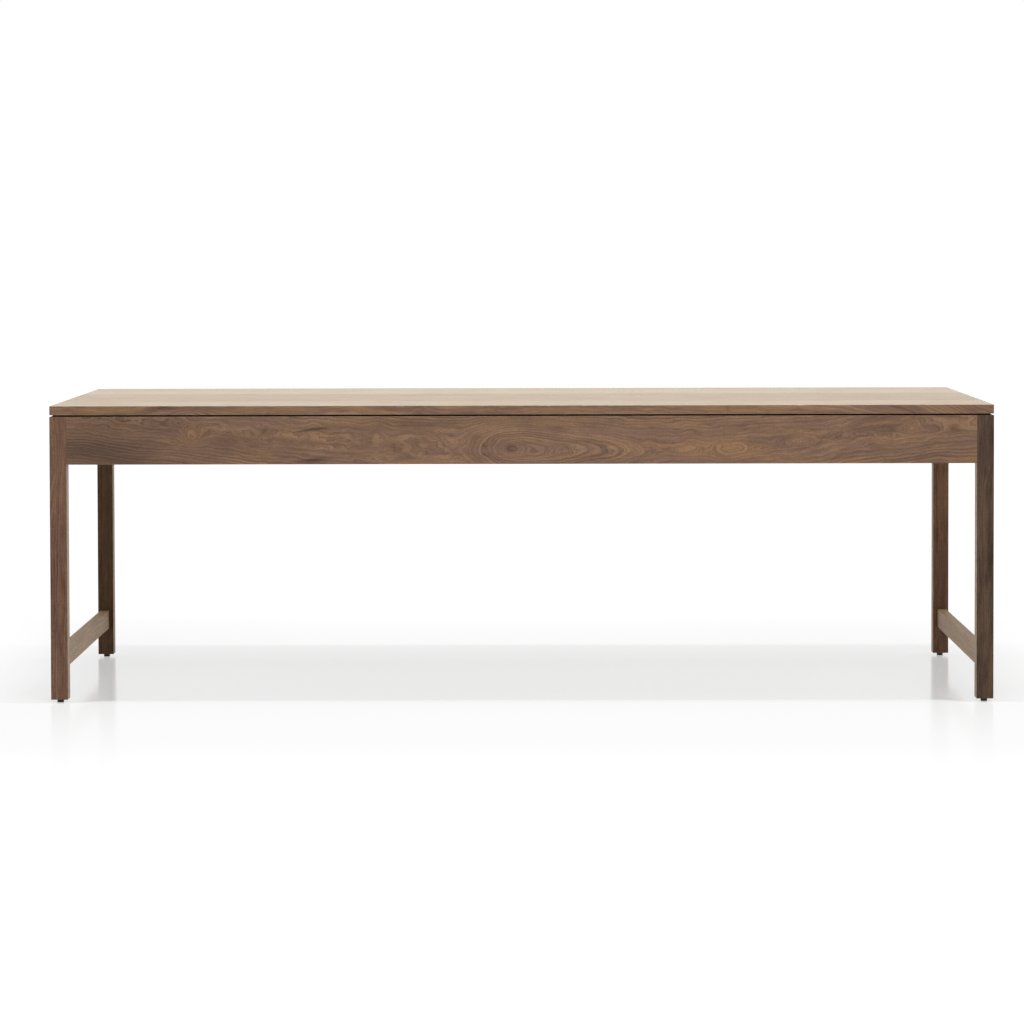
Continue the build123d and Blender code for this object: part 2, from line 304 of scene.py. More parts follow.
@dataclass(frozen=True)
class GrowthRings:
    """The shader group of a sawn board's growth rings.

    A point's radius is its distance from the pith, less what knots take off. Two sizes of noise make it
    waver, and creased noise, the distance of a noise from its middle, gives the rings points along the grain.
    The radius over the ring spacing counts the rings. In each ring the late wood darkens slowly and ends
    sharply. Each ring has its own tone and strength, and its line is fainter where the ring lies flat. Finer
    rings lie between the strong ones. Flow is the place along the board and the radius, so that streaks read
    from it bend with the rings.
    """

    wave: Waves = Waves(along=7.0, across=15.0)
    ripple: Waves = Waves(along=28.0, across=42.0, detail=3.0, roughness=0.55)
    crease: Waves = Waves(along=6.0, across=42.0, detail=1.0)
    steep_lean: float = 0.6
    flat_strength: float = 0.55
    edge_start: Pair = (0.84, 0.96)
    edge_end: Pair = (0.97, 1.0)
    edge_depth: float = 0.62
    late_power: float = 3.0
    late_end: Pair = (0.95, 1.0)
    late_depth: float = 0.36
    weakest: float = 0.25
    strength_seed: float = 57.3
    fine_count: float = 2.0
    fine_start: float = 0.45
    fine_power: float = 4.0
    fine_end: Pair = (0.90, 1.0)

    def wavering(self, g: Graph, given: Outputs, radius: Value) -> Socket:
        """Makes a radius waver and takes off what the knots do.

        Args:
            g: The group's graph.
            given: The group's inputs.
            radius: The distance from the pith.

        Returns:
            The radius by which the rings are counted.
        """
        vector = given["Vector"]
        crease = g.math("ABSOLUTE", g.centred(self.crease.read(g, vector)))
        radius = g.times_plus(g.centred(self.wave.read(g, vector)), given["Waviness"], radius)
        radius = g.times_plus(g.centred(self.ripple.read(g, vector)), given["Jag"], radius)
        radius = g.times_plus(crease, given["Jag"], radius)
        return g.less(radius, given["Knots"])

    def ring_line(self, g: Graph, early: Value, number: Value, steep: Value) -> Socket:
        """How dark a ring's line is.

        Args:
            g: The group's graph.
            early: How far through its ring a point lies, from 0 to 1.
            number: The ring's number.
            steep: How strong the line is for the ring's lean.

        Returns:
            The line's depth, from 0 to 1.
        """
        edge = g.times(g.ramp(early, *self.edge_start), g.ramp(early, *self.edge_end, 1.0, 0.0))
        late = g.times(g.math("POWER", early, self.late_power), g.ramp(early, *self.late_end, 1.0, 0.0))
        line = g.times_plus(late, self.late_depth, g.times(edge, self.edge_depth))
        strength = g.add("TexWhiteNoise", noise_dimensions="1D")
        g.feed(strength.inputs["W"], g.math("ADD", number, self.strength_seed))
        line = g.times(line, g.times_plus(strength.outputs["Value"], 1 - self.weakest, self.weakest))
        return g.times(line, steep)

    def build(self) -> Tree:
        """Makes the group.

        Returns:
            The group's tree.
        """
        inputs = {
            "Vector": "Vector", "Across": "Float", "Through": "Float", "Waviness": "Float", "Jag": "Float",
            "Spacing": "Float", "Knots": "Float",
        }
        outputs = {"Line": "Float", "Fine": "Float", "Ring Tone": "Float", "Early": "Float", "Flow": "Vector"}
        group = Group("growth_rings", inputs, outputs)
        g, given = group.graph, group.given
        across, through = given["Across"], given["Through"]
        from_pith = g.math("SQRT", g.times_plus(through, through, g.times(across, across)))
        lean = g.math("DIVIDE", g.math("ABSOLUTE", across), from_pith)
        steep = g.ramp(lean, 0.0, self.steep_lean, self.flat_strength, 1.0)
        radius = self.wavering(g, given, from_pith)
        rings = g.math("DIVIDE", radius, given["Spacing"])
        early, number = g.math("FRACT", rings), g.math("FLOOR", rings)
        tone = g.add("TexWhiteNoise", noise_dimensions="1D")
        g.feed(tone.inputs["W"], number)
        between = g.math("FRACT", g.times_plus(rings, self.fine_count, self.fine_start))
        fine = g.times(g.math("POWER", between, self.fine_power), g.ramp(between, *self.fine_end, 1.0, 0.0))
        return group.give(
            Line=self.ring_line(g, early, number, steep), Fine=fine, Ring_Tone=tone.outputs["Value"],
            Early=early, Flow=g.joined(g.apart(given["Vector"])["X"], radius),
        )


@dataclass(frozen=True)
class KnotHump:
    """The shader group of a knot or an island: a smooth hump that bends the rings round it.

    Near is e to the minus squared distance, measured in sizes. The hump is height times near, and the core is
    narrower.
    """

    core_sharpness: float = 5.0

    def build(self) -> Tree:
        """Makes the group.

        Returns:
            The group's tree.
        """
        inputs = dict.fromkeys(("Vector", "Centre", "Size"), "Vector") | {"Turn": "Float", "Height": "Float"}
        group = Group("knot", inputs, {"Hump": "Float", "Near": "Float", "Core": "Float"})
        g, given = group.graph, group.given
        turned = g.add("VectorRotate", rotation_type="Z_AXIS")
        g.fill(turned, Vector=given["Vector"], Center=given["Centre"], Angle=given["Turn"])
        away = g.vector("DIVIDE", g.vector("SUBTRACT", turned.outputs[0], given["Centre"]), given["Size"])
        squared = g.outputs_of("VectorMath", (away, away), operation="DOT_PRODUCT")["Value"]
        near = g.fade(squared)
        core = g.fade(squared, self.core_sharpness)
        return group.give(Hump=g.times(near, given["Height"]), Near=near, Core=core)


@dataclass(frozen=True)
class WoodColour:
    """The shader group of planed wood: its colour, height and roughness from its rings.

    Slow noise drifts between the light and the dark colour and towards the warm and the rose one. Broad bands
    and each ring add their own tone, and finer noise draws streaks along the grain and a faint mottle. Late
    wood darkens each ring's end. Pores are short dark dashes, thickest in the early wood.
    """

    drift: Waves = Waves(along=4.2, across=21.0, detail=3.0, roughness=0.6)
    band: Waves = Waves(along=1.4, across=48.0, roughness=0.55)
    hue: Waves = Waves(along=5.5, across=30.0)
    hue_place: Place = (5.3, 1.7, 0.9)
    streak: Waves = Waves(along=13.0, across=230.0, detail=6.0, roughness=0.68)
    mottle: Waves = Waves(along=34.0, across=85.0, detail=3.0, roughness=0.6)
    fibre: Waves = Waves(along=60.0, across=1300.0, detail=1.0)
    pore: Waves = Waves(along=110.0, across=2300.0, detail=0.5)
    dark_share: float = 0.42
    ring_share: float = 0.42
    streak_share: float = 2.3
    mottle_share: float = 1.0
    early_share: float = 0.18
    rose_hues: Pair = (0.48, 0.34)
    rose_share: float = 0.55
    warm_hues: Pair = (0.50, 0.68)
    warm_share: float = 0.6
    warm_limit: float = 0.85
    fine_share: float = 0.50
    pore_level: float = 0.58
    pore_early: float = 0.06
    pore_edge: float = 0.06
    pore_darkness: float = 0.6
    fibre_height: float = 0.15
    line_height: float = 0.12
    roughness: float = 0.36
    pore_roughness: float = 0.20
    fibre_roughness: float = 0.10

    def ground(self, g: Graph, given: Outputs) -> Socket:
        """The colour of the wood between its ring lines.

        Args:
            g: The group's graph.
            given: The group's inputs.

        Returns:
            The colour.
        """
        vector, flow = given["Vector"], given["Flow"]
        share = g.times_plus(g.centred(self.drift.read(g, vector)), given["Drift"], self.dark_share)
        share = g.times_plus(g.centred(self.band.read(g, flow)), given["Bands"], share)
        share = g.times_plus(g.centred(given["Ring Tone"]), self.ring_share, share)
        share = g.times_plus(g.centred(self.streak.read(g, flow)), self.streak_share, share)
        share = g.times_plus(g.centred(self.mottle.read(g, vector)), self.mottle_share, share)
        share = g.times_plus(given["Early"], self.early_share, share)
        colour = g.blend(g.math("ADD", share, 0.0, clamp=True), given["Light"], given["Dark"])
        hue = self.hue.read(g, g.vector("ADD", vector, self.hue_place))
        colour = g.blend(g.times(g.ramp(hue, *self.rose_hues), self.rose_share), colour, given["Rose"])
        golden = g.times_plus(g.ramp(hue, *self.warm_hues), self.warm_share, given["Glow"])
        return g.blend(g.math("MINIMUM", golden, self.warm_limit), colour, given["Warm"])

    def build(self) -> Tree:
        """Makes the group.

        Returns:
            The group's tree.
        """
        floats = (
            "Contrast", "Drift", "Bands", "Pores", "Stain", "Glow", "Line", "Fine", "Ring Tone", "Early",
        )
        colours = ("Light", "Dark", "Warm", "Rose", "Late Wood")
        inputs = {"Vector": "Vector", "Flow": "Vector"} | dict.fromkeys(floats, "Float")
        inputs |= dict.fromkeys(colours, "Color")
        group = Group("wood_colour", inputs, {"Color": "Color", "Height": "Float", "Roughness": "Float"})
        g, given = group.graph, group.given
        vector, late_wood = given["Vector"], given["Late Wood"]
        weight = g.times(g.times_plus(given["Fine"], self.fine_share, given["Line"]), given["Contrast"])
        weight = g.math("ADD", weight, given["Stain"], clamp=True)
        colour = g.blend(weight, self.ground(g, given), late_wood)
        crowd = g.times_plus(given["Early"], self.pore_early, self.pore_level)
        pore = g.ramp(g.less(self.pore.read(g, vector), crowd), 0.0, self.pore_edge)
        pore = g.times(pore, given["Pores"])
        colour = g.blend(g.times(pore, self.pore_darkness), colour, late_wood)
        fibre = self.fibre.read(g, vector)
        height = g.less(g.times(fibre, self.fibre_height), pore)
        height = g.less(height, g.times(given["Line"], self.line_height))
        rough = g.times_plus(pore, self.pore_roughness, self.roughness)
        rough = g.times_plus(g.centred(fibre), self.fibre_roughness, rough)
        return group.give(Color=colour, Height=height, Roughness=rough)


@dataclass(frozen=True)
class Arris:
    """The shader group that finds the eased edges and the dust.

    A face leans where no part of its normal is near 1. The mask is 0 on the flat faces and grows as a face
    leans between the axes, less in the patches that a noise leaves. The wood finish lightens the edges by
    this mask, partly for wear and partly as a painted highlight. Dust is a slower noise.
    """

    flat_above: float = 0.985
    leaning_below: float = 0.80
    patch_waves: float = 38.0
    patch_levels: Pair = (0.30, 0.62)
    least_wear_and_highlight: float = 0.45
    dust_waves: float = 7.0
    dust_levels: Pair = (0.35, 0.75)

    def build(self) -> Tree:
        """Makes the group.

        Returns:
            The group's tree.
        """
        group = Group("arris", {"Vector": "Vector"}, {"Mask": "Float", "Dust": "Float"})
        g, vector = group.graph, group.given["Vector"]
        parts = g.apart(g.vector("ABSOLUTE", g.add("NewGeometry").outputs["Normal"]))
        most = g.math("MAXIMUM", g.math("MAXIMUM", parts["X"], parts["Y"]), parts["Z"])
        lean = g.ramp(most, self.flat_above, self.leaning_below)
        patch = g.noise(vector, self.patch_waves, detail=3.0).outputs["Fac"]
        mask = g.times(lean, g.ramp(patch, *self.patch_levels, self.least_wear_and_highlight, 1.0))
        dust = g.noise(vector, self.dust_waves, detail=4.0, roughness=0.6).outputs["Fac"]
        return group.give(Mask=mask, Dust=g.ramp(dust, *self.dust_levels))


GROUPS: dict[str, Tree] = {}


def make_groups() -> None:
    """Builds the shared node groups once."""
    for kind in (GrowthRings(), KnotHump(), WoodColour(), Arris()):
        tree = kind.build()
        GROUPS[tree.name] = tree


class Grain(Enum):
    """Which world axes a board's length, width and thickness run along."""

    ALONG_TOP = ("X", "Y", "Z")
    ALONG_APRON = ("X", "Z", "Y")
    ACROSS_RAIL = ("Y", "Z", "X")
    UP_LEG = ("Z", "X", "Y")


@dataclass(frozen=True, kw_only=True)
class Mark:
    """A place in a board's figure: its centre, its size and its turn, in metres and radians.

    It reaches through the board unless it is given a depth.
    """

    along: float
    across: float
    long: float
    wide: float
    turn: float = 0.0
    through: float = 0.0
    deep: float = 10.0

    def hump(self, g: Graph, vector: Value, height: float) -> Outputs:
        """Places one knot group.

        Args:
            g: The material's graph.
            vector: The board's coordinates.
            height: The hump's height.

        Returns:
            The group's outputs.
        """
        centre, size = (self.along, self.across, self.through), (self.long, self.wide, self.deep)
        return g.call(GROUPS["knot"], Vector=vector, Centre=centre, Size=size, Turn=self.turn, Height=height)


@dataclass(frozen=True, kw_only=True)
class Knot(Mark):
    """A knot, island or bump: how many rings it moves, how dark its core and how golden the wood round it."""

    rings: float
    core: float = 0.0
    glow: float = 0.0


@dataclass(frozen=True, kw_only=True)
class Stain(Mark):
    """A dark streak, whose depth goes from 0 to 1."""

    depth: float


@dataclass(frozen=True, kw_only=True)
class Bend:
    """Where the pith swings away: its place and length along the board, and how far it swings, in metres."""

    along: float
    long: float
    across: float = 0.0
    through: float = 0.0


@dataclass(frozen=True)
class Tones:
    """A wood's tones as screen colours: the light and the dark, the warm and the rose, and its late wood."""

    light: Screen
    dark: Screen
    warm: Screen
    rose: Screen
    late_wood: Screen

    def sockets(self) -> dict[str, Colour]:
        """The linear tones, by the inputs of the wood colour group.

        Returns:
            Each input's colour.
        """
        return {
            "Light": srgb(*self.light), "Dark": srgb(*self.dark), "Warm": srgb(*self.warm),
            "Rose": srgb(*self.rose), "Late_Wood": srgb(*self.late_wood),
        }


WALNUT = Tones((153, 118, 89), (112, 81, 60), (154, 115, 79), (133, 98, 82), (66, 42, 26))
RED_WALNUT = Tones((140, 107, 87), (101, 73, 59), (142, 106, 81), (124, 91, 79), (56, 36, 27))
GREY_WALNUT = Tones((100, 81, 66), (59, 46, 37), (104, 83, 62), (81, 62, 53), (56, 36, 27))
DEEP_WALNUT = Tones((120, 94, 67), (88, 66, 46), (122, 94, 62), (102, 77, 59), (56, 36, 27))
RUSSET_WALNUT = Tones((146, 112, 84), (110, 80, 61), (148, 110, 80), (126, 92, 74), (56, 36, 27))
PALE_WALNUT = Tones((160, 136, 108), (114, 92, 72), (176, 132, 98), (162, 110, 94), (62, 42, 30))
NEAR_BLACK_STRIP = Tones((46, 22, 8), (30, 13, 4), (50, 24, 8), (38, 16, 6), (16, 7, 3))
BEECH = Tones((212, 178, 142), (188, 150, 114), (206, 164, 124), (198, 158, 126), (150, 108, 78))

CORNERS = ("front_left", "front_right", "rear_left", "rear_right")


def new_material(name: str) -> tuple[Material, Graph, Node]:
    """Makes a material with nodes.

    Args:
        name: The material's name.

    Returns:
        The material, its graph and its Principled BSDF.
    """
    material = bpy.data.materials.new(name)
    material.use_nodes = True
    return material, Graph(material.node_tree), material.node_tree.nodes["Principled BSDF"]


@dataclass(frozen=True, kw_only=True)
class WoodFinish:
    """A planed and lacquered board: its tones and how its rings lie."""

    name: str
    grain: Grain
    tones: Tones
    pith_across: float
    pith_through: float
    spacing: float = 0.007
    wander: float = 0.03
    wander_waves: float = 1.6
    waviness: float = 0.010
    jag: float = 0.004
    contrast: float = 0.7
    core_contrast: float = 1.6
    drift: float = 2.0
    bands: float = 0.6
    taper: float = 0.0
    pores: float = 1.0
    log_place: float = 0.0
    knots: tuple[Knot, ...] = ()
    stains: tuple[Stain, ...] = ()
    bends: tuple[Bend, ...] = ()
    bump: float = 0.25
    bump_depth: float = 0.0002
    edge_wear_and_highlight: float = 0.5
    edge_polish: float = 0.08
    dust_roughness: float = 0.05
    gloss: float = 0.0
    specular: float = 0.5
    sheen: float = 0.15
    sheen_roughness: float = 0.4
    sheen_tint: Colour = (1.0, 0.72, 0.42)

    def board_coordinates(self, g: Graph) -> Socket:
        """Object coordinates in the order along, across and through the board.

        Args:
            g: The material's graph.

        Returns:
            The board's coordinates.
        """
        parts = g.apart(g.place())
        return g.joined(*(parts[axis] for axis in self.grain.value))

    def figure(self, g: Graph, vector: Value) -> tuple[Value, Value, Value, Value]:
        """What the knots and stains do to the figure.

        The contrast of the ring lines is stronger round a knot's core.

        Args:
            g: The material's graph.
            vector: The board's coordinates.

        Returns:
            The knots' summed height in metres, the stains' summed depth, the contrast and the golden share.
        """
        humps, stains, contrast, glow = 0.0, 0.0, self.contrast, 0.0
        for knot in self.knots:
            found = knot.hump(g, vector, knot.rings * self.spacing)
            humps = g.math("ADD", humps, found["Hump"])
            if knot.core:
                stains = g.times_plus(found["Core"], knot.core, stains)
                contrast = g.times_plus(found["Near"], knot.core * self.core_contrast, contrast)
            if knot.glow:
                glow = g.times_plus(found["Near"], knot.glow, glow)
        for stain in self.stains:
            stains = g.math("ADD", stains, stain.hump(g, vector, stain.depth)["Hump"])
        return humps, stains, contrast, glow

    def from_pith(self, g: Graph, vector: Value) -> tuple[Socket, Socket]:
        """How far a point lies from the pith, across and through the board.

        Slow noise makes the pith wander, and it sinks away from the face by the log's taper times the place
        along it. Each bend swings it by e to the minus squared distance.

        Args:
            g: The material's graph.
            vector: The board's coordinates.

        Returns:
            The two distances in metres.
        """
        parts = g.apart(vector)
        line = g.joined(g.math("ADD", parts["X"], self.log_place))
        sway = g.outputs_of("SeparateColor", (g.noise(line, self.wander_waves).outputs["Color"],))
        across = g.times_plus(g.centred(sway[0]), self.wander, self.pith_across)
        through = g.times_plus(g.centred(sway[1]), self.wander, self.pith_through)
        through = g.times_plus(parts["X"], -self.taper, through)
        for bend in self.bends:
            away = g.math("DIVIDE", g.less(parts["X"], bend.along), bend.long)
            share = g.fade(g.times(away, away))
            across = g.times_plus(share, bend.across, across)
            through = g.times_plus(share, bend.through, through)
        return g.less(parts["Y"], across), g.less(parts["Z"], through)

    def build(self) -> Material:
        """Makes the material.

        Returns:
            The material.
        """
        material, g, shader = new_material(self.name)
        place = self.board_coordinates(g)
        humps, stains, contrast, glow = self.figure(g, place)
        across, through = self.from_pith(g, place)
        vector = g.vector("ADD", place, (self.log_place, 0.0, 0.0))
        rings = g.call(
            GROUPS["growth_rings"], Vector=vector, Across=across, Through=through, Waviness=self.waviness,
            Jag=self.jag, Spacing=self.spacing, Knots=humps,
        )
        wood = g.call(
            GROUPS["wood_colour"], Vector=vector, Flow=rings["Flow"], Line=rings["Line"], Fine=rings["Fine"],
            Ring_Tone=rings["Ring Tone"], Early=rings["Early"], **self.tones.sockets(), Contrast=contrast,
            Drift=self.drift, Bands=self.bands, Pores=self.pores, Stain=stains, Glow=glow,
        )
        edge = g.call(GROUPS["arris"], Vector=vector)
        # Eased edges blend towards the light tone: partly worn wood, partly a painted highlight along the
        # arrises.
        worn = g.blend(g.times(edge["Mask"], self.edge_wear_and_highlight), wood["Color"], srgb(*self.tones.light))
        rough = g.times_plus(edge["Dust"], self.dust_roughness, g.less(wood["Roughness"], self.gloss))
        rough = g.times_plus(edge["Mask"], -self.edge_polish, rough)
        normal = g.bump(wood["Height"], self.bump, self.bump_depth)
        g.fill(
            shader, Base_Color=worn, Roughness=rough, Normal=normal, Specular_IOR_Level=self.specular,
            Sheen_Weight=self.sheen, Sheen_Roughness=self.sheen_roughness, Sheen_Tint=self.sheen_tint,
        )
        return material


@dataclass(frozen=True)
class MetalFinish:
    """Plated metal, clouded by wear and with a fine grit: zinc, unless it is given other colours."""

    name: str
    colour: Screen = (196, 198, 200)
    worn: Screen = (170, 172, 170)
    roughness: float = 0.25
    cloud_waves: float = 260.0
    cloud_levels: Pair = (0.42, 0.62)
    cloud_roughness: float = 0.22
    grit_waves: float = 4200.0
    grit_strength: float = 0.15
    grit_depth: float = 0.00005

    def build(self) -> Material:
        """Makes the material.

        Returns:
            The material.
        """
        material, g, shader = new_material(self.name)
        place = g.place()
        cloud = g.noise(place, self.cloud_waves, detail=4.0).outputs["Fac"]
        grit = g.noise(place, self.grit_waves, detail=1.0).outputs["Fac"]
        colour = g.blend(g.ramp(cloud, *self.cloud_levels), srgb(*self.colour), srgb(*self.worn))
        rough = g.times_plus(cloud, self.cloud_roughness, self.roughness)
        normal = g.bump(grit, self.grit_strength, self.grit_depth)
        g.fill(shader, Base_Color=colour, Roughness=rough, Normal=normal, Metallic=1.0)
        return material


@dataclass(frozen=True)
class NylonFinish:
    """Moulded nylon with a fine matt grain and scuffs."""

    name: str
    colour: Screen = (46, 30, 22)
    scuffed: Screen = (84, 66, 56)
    scuff_waves: float = 420.0
    scuff_levels: Pair = (0.52, 0.72)
    scuff_share: float = 0.5
    scuff_roughness: float = 0.15
    roughness: float = 0.5
    grain_waves: float = 5200.0
    grain_strength: float = 0.2
    grain_depth: float = 0.0001

    def build(self) -> Material:
        """Makes the material.

        Returns:
            The material.
        """
        material, g, shader = new_material(self.name)
        place = g.place()
        patches = g.noise(place, self.scuff_waves, detail=5.0, roughness=0.7).outputs["Fac"]
        scuff = g.ramp(patches, *self.scuff_levels)
        grain = g.noise(place, self.grain_waves).outputs["Fac"]
        colour = g.blend(g.times(scuff, self.scuff_share), srgb(*self.colour), srgb(*self.scuffed))
        rough = g.times_plus(scuff, self.scuff_roughness, self.roughness)
        normal = g.bump(grain, self.grain_strength, self.grain_depth)
        g.fill(shader, Base_Color=colour, Roughness=rough, Normal=normal)
        return material


def dress(node: str, material: Material) -> None:
    """Gives a carried-over CAD node one material.

    Args:
        node: The node's name.
        material: Its material.
    """
    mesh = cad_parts[node].data
    mesh.materials.clear()
    mesh.materials.append(material)
    log.info("%s dressed in %s", node, material.name)


@dataclass
class Aprons:
    """The four aprons, and the dark strips between them and the top."""

    def front_finish(self) -> WoodFinish:
        """The front apron, whose knot and nested tips lie a little left of the middle.

        Returns:
            Its finish.
        """
        knots = (
            Knot(along=-0.028, across=0.647, long=0.030, wide=0.024, rings=3.6, core=0.5),
            Knot(along=0.000, across=0.645, long=0.130, wide=0.080, rings=5.5),
            Knot(along=0.170, across=0.640, long=0.110, wide=0.040, rings=2.4),
            Knot(along=-0.150, across=0.650, long=0.060, wide=0.050, rings=-3.2),
            Knot(along=-0.094, across=0.655, long=0.010, wide=0.010, rings=0.9, core=0.4),
            Knot(along=-0.094, across=0.633, long=0.009, wide=0.009, rings=0.7, core=0.4),
            Knot(along=-0.838, across=0.677, long=0.024, wide=0.019, rings=2.7, core=0.15, glow=0.8),
            Knot(along=0.700, across=0.666, long=0.030, wide=0.012, rings=2.6),
            Knot(along=0.433, across=0.645, long=0.045, wide=0.022, rings=1.4, glow=1.0),
            Knot(along=0.527, across=0.645, long=0.055, wide=0.030, rings=2.0, glow=0.8),
            Knot(along=-0.364, across=0.690, long=0.018, wide=0.040, rings=0.9),
            Knot(along=-0.528, across=0.700, long=0.016, wide=0.028, rings=0.8),
            Knot(along=-0.330, across=0.640, long=0.060, wide=0.030, rings=-0.6),
            Knot(along=-0.495, across=0.662, long=0.090, wide=0.030, rings=-0.5),
            Knot(along=-0.190, across=0.628, long=0.050, wide=0.020, rings=0.8),
            Knot(along=0.425, across=0.684, long=0.018, wide=0.024, rings=0.8),
            Knot(along=0.850, across=0.650, long=0.090, wide=0.030, rings=-1.0),
            Knot(along=0.993, across=0.703, long=0.022, wide=0.018, rings=1.2, glow=0.6),
            Knot(along=1.047, across=0.692, long=0.018, wide=0.014, rings=1.0),
        )
        stains = (
            Stain(along=-0.528, across=0.697, long=0.040, wide=0.0035, depth=0.9, turn=-0.12),
            Stain(along=-0.530, across=0.618, long=0.036, wide=0.0045, depth=0.9, turn=-0.10),
            Stain(along=-1.080, across=0.640, long=0.160, wide=0.034, depth=0.38, turn=0.12),
            Stain(along=-1.080, across=0.670, long=0.220, wide=0.120, depth=0.26),
            Stain(along=-0.930, across=0.708, long=0.090, wide=0.014, depth=0.20),
            Stain(along=-0.130, across=0.716, long=0.300, wide=0.012, depth=0.16),
            Stain(along=1.080, across=0.640, long=0.160, wide=0.100, depth=0.13),
        )
        bends = (
            Bend(along=-1.20, long=0.60, across=0.095), Bend(along=1.25, long=0.45, across=0.070),
            Bend(along=0.14, long=0.22, through=0.014),
        )
        return WoodFinish(
            name="walnut_apron_front", grain=Grain.ALONG_APRON, tones=WALNUT, pith_across=0.645,
            pith_through=-0.545, wander=0.016, waviness=0.022, jag=0.008, contrast=1.6, knots=knots,
            stains=stains, bends=bends,
        )

    def finishes(self) -> dict[str, WoodFinish]:
        """The finish of each apron.

        Returns:
            The finishes by node.
        """
        found = {"apron_front": self.front_finish()}
        found["apron_rear"] = WoodFinish(
            name="walnut_apron_rear", grain=Grain.ALONG_APRON, tones=WALNUT, pith_across=0.66,
            pith_through=0.53, spacing=0.008, log_place=7.3,
            knots=(Knot(along=-0.52, across=0.64, long=0.09, wide=0.03, rings=3.0, core=0.3),),
        )
        for side, pith, place in (("left", -1.22, 3.1), ("right", 1.22, 5.7)):
            found[f"apron_{side}"] = WoodFinish(
                name=f"walnut_apron_{side}", grain=Grain.ACROSS_RAIL, tones=WALNUT, pith_across=0.68,
                pith_through=pith, log_place=place,
            )
        return found

    def build(self) -> None:
        """Dresses the aprons and the strips."""
        for node, finish in self.finishes().items():
            dress(node, finish.build())
        # The strips are a near-black red-brown, which makes the gap under the top dark.
        strip = WoodFinish(
            name="near_black_strip", grain=Grain.ALONG_TOP, tones=NEAR_BLACK_STRIP, pith_across=0.0,
            pith_through=0.3, specular=0.08, sheen=0.05,
        ).build()
        for side in ("front", "rear", "left", "right"):
            dress(f"gap_strip_{side}", strip)


@dataclass(frozen=True)
class LegWood:
    """The wood of one leg: its tones, how far they drift, and its place along the log."""

    tones: Tones
    drift: float
    log_place: float


@dataclass
class Legs:
    """The four legs and the two stretchers, each leg of its own tone."""

    spacing: float = 0.0045
    pith_left: float = 0.050
    pith_before: float = 0.080
    stretcher_spacing: float = 0.010
    stretcher_pith_left: float = 0.06
    woods: tuple[LegWood, ...] = (
        LegWood(RED_WALNUT, 1.8, 1.3), LegWood(GREY_WALNUT, 2.8, 2.9), LegWood(DEEP_WALNUT, 2.8, 4.1),
        LegWood(RUSSET_WALNUT, 1.6, 6.3),
    )
    curl: Knot = Knot(along=0.640, across=-1.215, long=0.110, wide=0.045, rings=7.0)
    shade: Stain = Stain(along=-0.47, across=0.10, long=0.20, wide=0.10, depth=0.22)

    def dress_legs(self) -> None:
        """Dresses the legs, with a curl high on the front left one."""
        for corner, wood in zip(CORNERS, self.woods):
            low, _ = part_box(f"leg_{corner}")
            dress(f"leg_{corner}", WoodFinish(
                name=f"walnut_leg_{corner}", grain=Grain.UP_LEG, tones=wood.tones,
                pith_across=low.x - self.pith_left, pith_through=low.y - self.pith_before,
                spacing=self.spacing, drift=wood.drift, log_place=wood.log_place, contrast=1.1,
                specular=0.12, sheen=0.38, knots=(self.curl,) if corner == "front_left" else (),
            ).build())

    def dress_stretchers(self) -> None:
        """Dresses the stretchers, with a darker patch on the left one."""
        for side, place in (("left", 8.2), ("right", 9.9)):
            low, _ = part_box(f"stretcher_{side}")
            dress(f"stretcher_{side}", WoodFinish(
                name=f"walnut_stretcher_{side}", grain=Grain.ACROSS_RAIL, tones=PALE_WALNUT,
                pith_across=0.02, pith_through=low.x - self.stretcher_pith_left,
                spacing=self.stretcher_spacing, waviness=0.014, jag=0.006, log_place=place, contrast=1.7,
                drift=2.8, specular=0.22, sheen=0.45, gloss=-0.10,
                stains=(self.shade,) if side == "left" else (),
            ).build())

    def build(self) -> None:
        """Dresses the legs and the stretchers."""
        self.dress_legs()
        self.dress_stretchers()


@dataclass(frozen=True)
class Board:
    """A board of the top: its tones, its place along the log, its pith's swing, its taper and its gloss."""

    light: Screen
    dark: Screen
    warm: Screen
    rose: Screen
    log_place: float
    swing: float
    taper: float
    gloss: float


